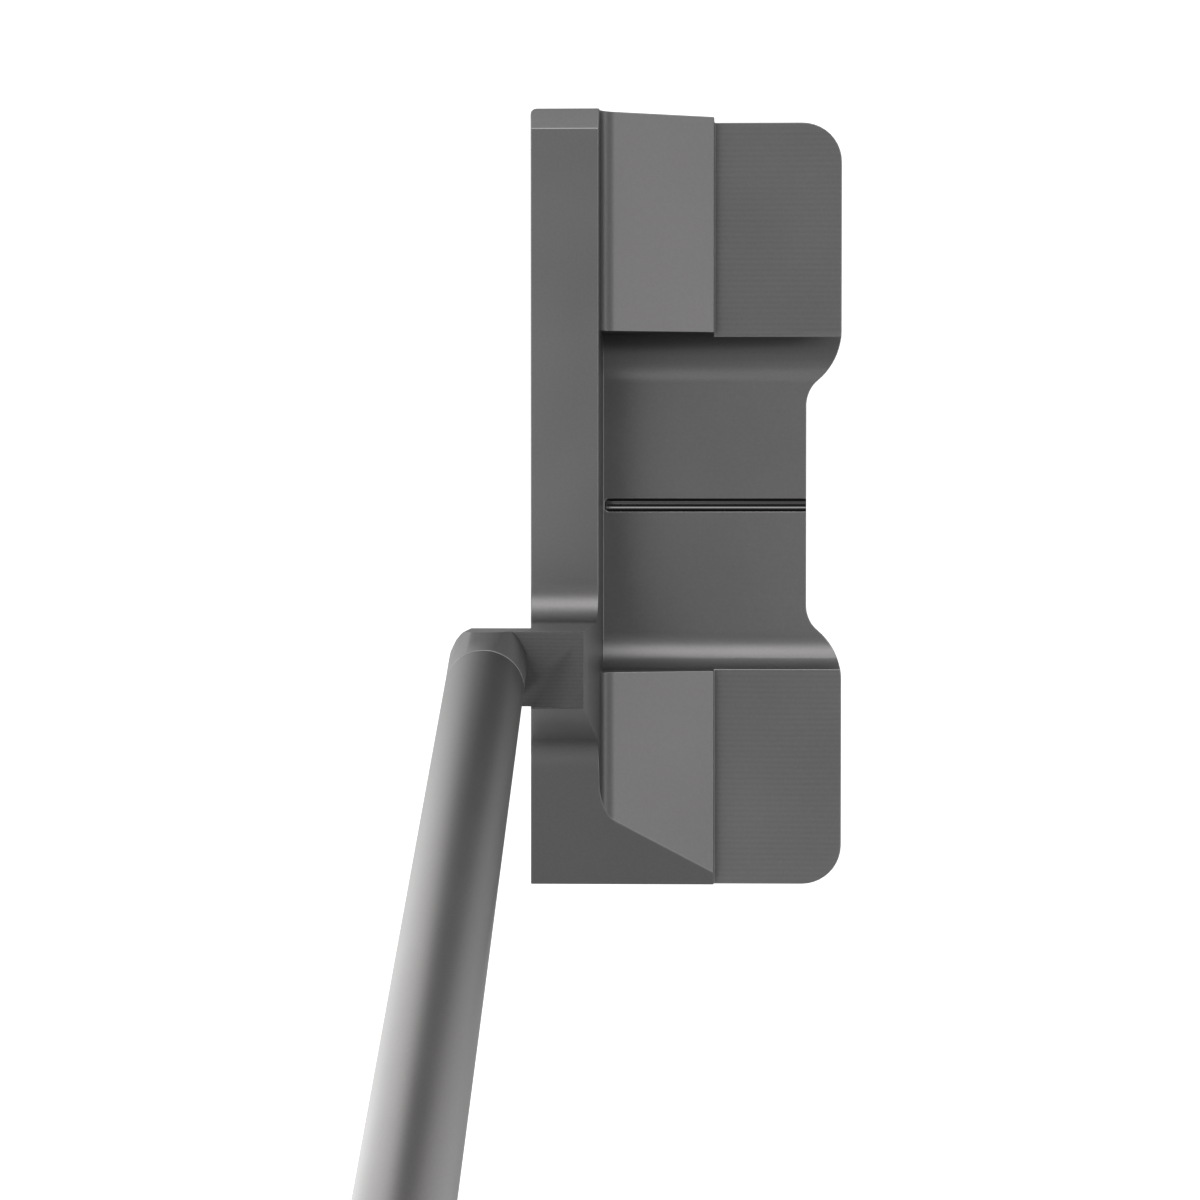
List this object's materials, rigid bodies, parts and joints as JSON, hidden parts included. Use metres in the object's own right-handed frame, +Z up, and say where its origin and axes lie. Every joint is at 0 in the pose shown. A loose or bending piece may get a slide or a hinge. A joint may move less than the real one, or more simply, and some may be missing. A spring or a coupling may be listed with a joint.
{
  "type": "blade putter",
  "caption": "Right-handed blade putter with a plumber's neck, sloped rear bumpers, sight line, stepped shaft and pistol grip.",
  "frame": {"origin": "on the sole plate's face, under the middle of the sight line", "axes": "+X to the heel and the player, -Y to the target (the face looks along -Y), +Z up"},
  "size_m": [0.3646, 0.0632, 0.8159],
  "materials": {
    "dark_anodised_head": "satin, hard-anodised dark grey over milled aluminium",
    "black_enamel": "glossy",
    "stainless_plate": "brushed",
    "damping_elastomer": "matte",
    "screw_steel": "satin",
    "weight_steel": "bead-blasted",
    "washer_nylon": "matte",
    "satin_dark_shaft": "satin, dark plated",
    "grip_foam": "matte",
    "paper_tape": "matte",
    "grip_skin": "textured matte",
    "grip_cap_rubber": "satin"
  },
  "bodies": {
    "root": {"head_body": "dark_anodised_head", "sight_line_fill": "black_enamel", "sole_plate": "stainless_plate", "sole_damping_pad": "damping_elastomer", "toe_weight": "weight_steel", "heel_weight": "weight_steel", "toe_weight_washer": "washer_nylon", "heel_weight_washer": "washer_nylon", "shaft": "satin_dark_shaft", "shaft_plug": "grip_foam", "grip_tape": "paper_tape", "grip_core": "grip_foam", "grip_skin": "grip_skin", "grip_cap": "grip_cap_rubber", "sole_screw_1": "screw_steel", "sole_screw_2": "screw_steel", "sole_screw_3": "screw_steel", "sole_screw_4": "screw_steel"}
  },
  "joints": []
}
